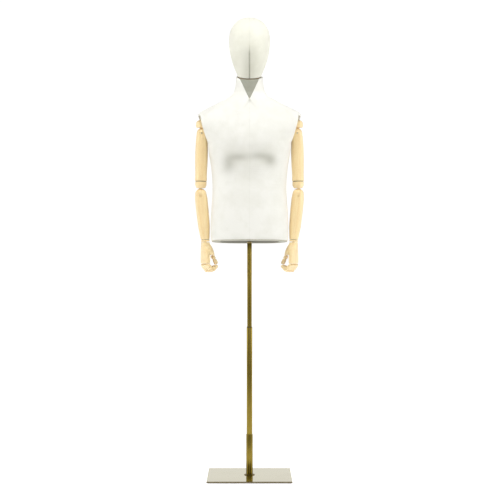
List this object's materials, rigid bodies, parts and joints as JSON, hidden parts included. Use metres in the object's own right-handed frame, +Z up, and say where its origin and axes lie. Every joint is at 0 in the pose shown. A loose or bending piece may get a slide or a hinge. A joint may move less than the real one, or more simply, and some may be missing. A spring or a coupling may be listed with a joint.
{
  "type": "jointed dress form mannequin",
  "caption": "Half-body dress form with an egg-shaped faceless head, jointed wooden arms and hands, on a telescopic tube stand with a square plate.",
  "frame": {"origin": "centre of the underside of the base pad", "axes": "+Z up along the stand, -Y the way the form faces, +X the form's own left"},
  "size_m": [0.4174, 0.32, 1.755],
  "materials": {
    "mirror_champagne_gold": "mirror-polished champagne gold plating on steel",
    "brushed_gold_steel": "brushed gold-tinted stainless steel",
    "pale_brass": "satin",
    "zinc_plated_steel": "zinc plated",
    "black_foam": "closed-cell foam, skinned",
    "black_nylon": "moulded",
    "off_white_cotton": "stretched plain-weave cotton with sewn seams",
    "grey_cotton": "stretched cotton, unbleached grey",
    "fibreglass": "laid-up fibreglass",
    "dark_board": "board faced with dark cloth",
    "beech": "turned beech, clear lacquer"
  },
  "bodies": {
    "base": {"base_pad": "black_foam", "base_plate": "mirror_champagne_gold", "base_bolt": "zinc_plated_steel", "base_flange": "brushed_gold_steel", "base_socket": "brushed_gold_steel", "outer_tube": "brushed_gold_steel", "tube_bush": "black_nylon"},
    "lock": {"lock_screw": "brushed_gold_steel"},
    "mast": {"inner_tube": "brushed_gold_steel"},
    "torso": {"torso_spigot": "pale_brass", "bottom_board": "dark_board", "torso_shell": "fibreglass", "torso_cover": "off_white_cotton", "throat_gusset": "grey_cotton", "neck_cap": "beech", "neck_post": "zinc_plated_steel", "left_shoulder_plate": "zinc_plated_steel", "left_shoulder_bolt": "zinc_plated_steel", "right_shoulder_plate": "zinc_plated_steel", "right_shoulder_bolt": "zinc_plated_steel"},
    "head": {"head_disc": "beech", "head_shell": "fibreglass", "head_cover": "off_white_cotton"},
    "left_shoulder": {"left_shoulder_knuckle": "beech", "left_shoulder_pin": "zinc_plated_steel"},
    "left_upper_arm": {"left_upper_arm": "beech"},
    "left_elbow": {"left_elbow_knuckle": "beech", "left_elbow_pin": "zinc_plated_steel"},
    "left_forearm": {"left_forearm": "beech"},
    "left_hand": {"left_palm": "beech", "left_wrist_ring": "beech"},
    "left_index_base": {"left_index_base": "beech"},
    "left_index_tip": {"left_index_tip": "beech"},
    "left_middle_base": {"left_middle_base": "beech"},
    "left_middle_tip": {"left_middle_tip": "beech"},
    "left_ring_base": {"left_ring_base": "beech"},
    "left_ring_tip": {"left_ring_tip": "beech"},
    "left_little_base": {"left_little_base": "beech"},
    "left_little_tip": {"left_little_tip": "beech"},
    "left_thumb_base": {"left_thumb_base": "beech"},
    "left_thumb_tip": {"left_thumb_tip": "beech"},
    "right_shoulder": {"right_shoulder_knuckle": "beech", "right_shoulder_pin": "zinc_plated_steel"},
    "right_upper_arm": {"right_upper_arm": "beech"},
    "right_elbow": {"right_elbow_knuckle": "beech", "right_elbow_pin": "zinc_plated_steel"},
    "right_forearm": {"right_forearm": "beech"},
    "right_hand": {"right_palm": "beech", "right_wrist_ring": "beech"},
    "right_index_base": {"right_index_base": "beech"},
    "right_index_tip": {"right_index_tip": "beech"},
    "right_middle_base": {"right_middle_base": "beech"},
    "right_middle_tip": {"right_middle_tip": "beech"},
    "right_ring_base": {"right_ring_base": "beech"},
    "right_ring_tip": {"right_ring_tip": "beech"},
    "right_little_base": {"right_little_base": "beech"},
    "right_little_tip": {"right_little_tip": "beech"},
    "right_thumb_base": {"right_thumb_base": "beech"},
    "right_thumb_tip": {"right_thumb_tip": "beech"}
  },
  "joints": [
    {"name": "height", "type": "slide", "parent": "base", "child": "mast", "axis": [0, 0, 1], "range_m": [-0.24, 0.12]},
    {"name": "lock_turn", "type": "hinge", "parent": "base", "child": "lock", "pos_m": [0, 0.017, 0.543], "axis": [0, 1, 0], "range_deg": [0, 360]},
    {"name": "torso_swivel", "type": "hinge", "parent": "mast", "child": "torso", "pos_m": [0, 0, 0.893], "axis": [0, 0, 1], "continuous": true},
    {"name": "head_turn", "type": "hinge", "parent": "torso", "child": "head", "pos_m": [0, -0.006, 1.5275], "axis": [0, -0.2756, 0.9613], "continuous": true},
    {"name": "left_shoulder_swing", "type": "hinge", "parent": "torso", "child": "left_shoulder", "pos_m": [0.18554, 0, 1.34896], "axis": [-0.9439, 0, 0.3304], "range_deg": [-40, 90]},
    {"name": "left_shoulder_raise", "type": "hinge", "parent": "left_shoulder", "child": "left_upper_arm", "pos_m": [0.182, 0, 1.313], "axis": [0, -1, 0], "range_deg": [0, 70]},
    {"name": "left_elbow_twist", "type": "hinge", "parent": "left_upper_arm", "child": "left_elbow", "pos_m": [0.18581, 0, 1.13104], "axis": [-0.0209, 0, 0.9998], "range_deg": [-90, 90]},
    {"name": "left_elbow_bend", "type": "hinge", "parent": "left_elbow", "child": "left_forearm", "pos_m": [0.18638, 0, 1.08005], "axis": [-0.9952, 0, 0.0976], "range_deg": [0, 88]},
    {"name": "left_wrist_twist", "type": "hinge", "parent": "left_forearm", "child": "left_hand", "pos_m": [0.16945, 0, 0.90737], "axis": [0.0976, 0, 0.9952], "range_deg": [-90, 90]},
    {"name": "left_index_base", "type": "hinge", "parent": "left_hand", "child": "left_index_base", "pos_m": [0.15696, -0.02033, 0.80832], "axis": [0.4695, 0.8829, 0], "range_deg": [-50, 0]},
    {"name": "left_index_tip", "type": "hinge", "parent": "left_index_base", "child": "left_index_tip", "pos_m": [0.13964, -0.01112, 0.79126], "axis": [0.4695, 0.8829, 0], "range_deg": [-95, 0]},
    {"name": "left_middle_base", "type": "hinge", "parent": "left_hand", "child": "left_middle_base", "pos_m": [0.16429, -0.00656, 0.80832], "axis": [0.4695, 0.8829, 0], "range_deg": [-50, 0]},
    {"name": "left_middle_tip", "type": "hinge", "parent": "left_middle_base", "child": "left_middle_tip", "pos_m": [0.14619, 0.00307, 0.78852], "axis": [0.4695, 0.8829, 0], "range_deg": [-95, 0]},
    {"name": "left_ring_base", "type": "hinge", "parent": "left_hand", "child": "left_ring_base", "pos_m": [0.17161, 0.00722, 0.80832], "axis": [0.4695, 0.8829, 0], "range_deg": [-50, 0]},
    {"name": "left_ring_tip", "type": "hinge", "parent": "left_ring_base", "child": "left_ring_tip", "pos_m": [0.15507, 0.01601, 0.78751], "axis": [0.4695, 0.8829, 0], "range_deg": [-95, 0]},
    {"name": "left_little_base", "type": "hinge", "parent": "left_hand", "child": "left_little_base", "pos_m": [0.17894, 0.02099, 0.80832], "axis": [0.4695, 0.8829, 0], "range_deg": [-50, 0]},
    {"name": "left_little_tip", "type": "hinge", "parent": "left_little_base", "child": "left_little_tip", "pos_m": [0.16539, 0.02819, 0.78795], "axis": [0.4695, 0.8829, 0], "range_deg": [-95, 0]},
    {"name": "left_thumb_base", "type": "hinge", "parent": "left_hand", "child": "left_thumb_base", "pos_m": [0.13981, -0.00509, 0.84182], "axis": [0.4695, 0.8829, 0], "range_deg": [0, 30]},
    {"name": "left_thumb_tip", "type": "hinge", "parent": "left_thumb_base", "child": "left_thumb_tip", "pos_m": [0.13339, -0.00168, 0.82813], "axis": [0.4695, 0.8829, 0], "range_deg": [0, 35]},
    {"name": "right_shoulder_swing", "type": "hinge", "parent": "torso", "child": "right_shoulder", "pos_m": [-0.18554, 0, 1.34896], "axis": [-0.9439, 0, -0.3304], "range_deg": [-40, 90]},
    {"name": "right_shoulder_raise", "type": "hinge", "parent": "right_shoulder", "child": "right_upper_arm", "pos_m": [-0.182, 0, 1.313], "axis": [0, 1, 0], "range_deg": [0, 70]},
    {"name": "right_elbow_twist", "type": "hinge", "parent": "right_upper_arm", "child": "right_elbow", "pos_m": [-0.18581, 0, 1.13104], "axis": [-0.0209, 0, -0.9998], "range_deg": [-90, 90]},
    {"name": "right_elbow_bend", "type": "hinge", "parent": "right_elbow", "child": "right_forearm", "pos_m": [-0.18638, 0, 1.08005], "axis": [-0.9952, 0, -0.0976], "range_deg": [0, 88]},
    {"name": "right_wrist_twist", "type": "hinge", "parent": "right_forearm", "child": "right_hand", "pos_m": [-0.16945, 0, 0.90737], "axis": [0.0976, 0, -0.9952], "range_deg": [-90, 90]},
    {"name": "right_index_base", "type": "hinge", "parent": "right_hand", "child": "right_index_base", "pos_m": [-0.15696, -0.02033, 0.80832], "axis": [0.4695, -0.8829, 0], "range_deg": [-50, 0]},
    {"name": "right_index_tip", "type": "hinge", "parent": "right_index_base", "child": "right_index_tip", "pos_m": [-0.13964, -0.01112, 0.79126], "axis": [0.4695, -0.8829, 0], "range_deg": [-95, 0]},
    {"name": "right_middle_base", "type": "hinge", "parent": "right_hand", "child": "right_middle_base", "pos_m": [-0.16429, -0.00656, 0.80832], "axis": [0.4695, -0.8829, 0], "range_deg": [-50, 0]},
    {"name": "right_middle_tip", "type": "hinge", "parent": "right_middle_base", "child": "right_middle_tip", "pos_m": [-0.14619, 0.00307, 0.78852], "axis": [0.4695, -0.8829, 0], "range_deg": [-95, 0]},
    {"name": "right_ring_base", "type": "hinge", "parent": "right_hand", "child": "right_ring_base", "pos_m": [-0.17161, 0.00722, 0.80832], "axis": [0.4695, -0.8829, 0], "range_deg": [-50, 0]},
    {"name": "right_ring_tip", "type": "hinge", "parent": "right_ring_base", "child": "right_ring_tip", "pos_m": [-0.15507, 0.01601, 0.78751], "axis": [0.4695, -0.8829, 0], "range_deg": [-95, 0]},
    {"name": "right_little_base", "type": "hinge", "parent": "right_hand", "child": "right_little_base", "pos_m": [-0.17894, 0.02099, 0.80832], "axis": [0.4695, -0.8829, 0], "range_deg": [-50, 0]},
    {"name": "right_little_tip", "type": "hinge", "parent": "right_little_base", "child": "right_little_tip", "pos_m": [-0.16539, 0.02819, 0.78795], "axis": [0.4695, -0.8829, 0], "range_deg": [-95, 0]},
    {"name": "right_thumb_base", "type": "hinge", "parent": "right_hand", "child": "right_thumb_base", "pos_m": [-0.13981, -0.00509, 0.84182], "axis": [0.4695, -0.8829, 0], "range_deg": [0, 30]},
    {"name": "right_thumb_tip", "type": "hinge", "parent": "right_thumb_base", "child": "right_thumb_tip", "pos_m": [-0.13339, -0.00168, 0.82813], "axis": [0.4695, -0.8829, 0], "range_deg": [0, 35]}
  ]
}
